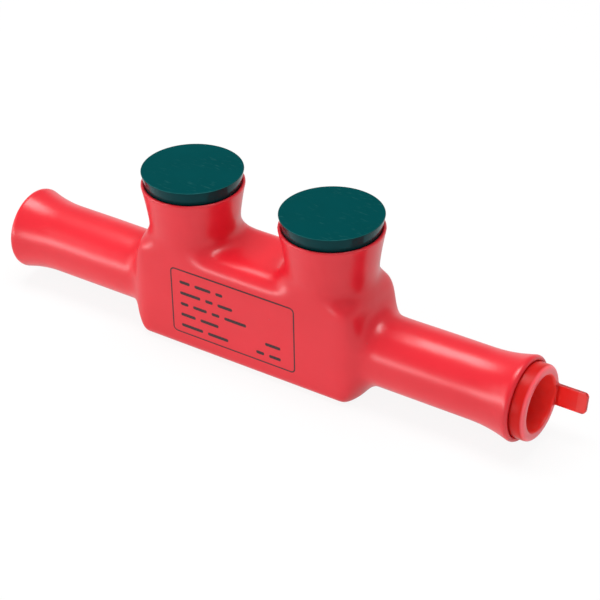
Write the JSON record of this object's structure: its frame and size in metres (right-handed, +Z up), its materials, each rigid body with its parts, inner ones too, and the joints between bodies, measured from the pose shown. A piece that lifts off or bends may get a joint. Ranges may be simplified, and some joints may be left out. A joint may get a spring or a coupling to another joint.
{
  "type": "insulated in-line splice connector",
  "caption": "Red vinyl-covered splice block: a cable tube with a flared mouth at each end, screw wells with green caps on top, and a pull plug in one mouth.",
  "frame": {"origin": "middle of the flat base, midway between the two screw wells", "axes": "+X along the cables towards the plugged mouth, +Y to the back, +Z up towards the screw wells"},
  "size_m": [0.2328, 0.0376, 0.0665],
  "materials": {
    "vinyl_cover": "dip-moulded vinyl plastisol, semi-gloss",
    "block_metal": "tin-plated, satin",
    "screw_metal": "machined and plated",
    "cap_plastic": "moulded polyethylene, satin top and glossy side",
    "plug_plastic": "moulded vinyl, glossy, slightly see-through"
  },
  "bodies": {
    "housing": {"insulating_cover": "vinyl_cover", "connector_body": "block_metal"},
    "screw_left": {"set_screw_left": "screw_metal"},
    "screw_right": {"set_screw_right": "screw_metal"},
    "cap_left": {"access_cap_left": "cap_plastic"},
    "cap_right": {"access_cap_right": "cap_plastic"},
    "plug": {"port_plug": "plug_plastic"}
  },
  "joints": [
    {"name": "screw_left_travel", "type": "slide", "parent": "housing", "child": "screw_left", "axis": [0, 0, 1], "range_m": [-0.0085, 0.0095]},
    {"name": "screw_right_travel", "type": "slide", "parent": "housing", "child": "screw_right", "axis": [0, 0, 1], "range_m": [-0.0085, 0.0095]},
    {"name": "cap_left_lift", "type": "slide", "parent": "housing", "child": "cap_left", "axis": [0, 0, 1], "range_m": [0, 0.03]},
    {"name": "cap_right_lift", "type": "slide", "parent": "housing", "child": "cap_right", "axis": [0, 0, 1], "range_m": [0, 0.03]},
    {"name": "plug_pull", "type": "slide", "parent": "housing", "child": "plug", "axis": [1, 0, 0], "range_m": [0, 0.12]}
  ]
}
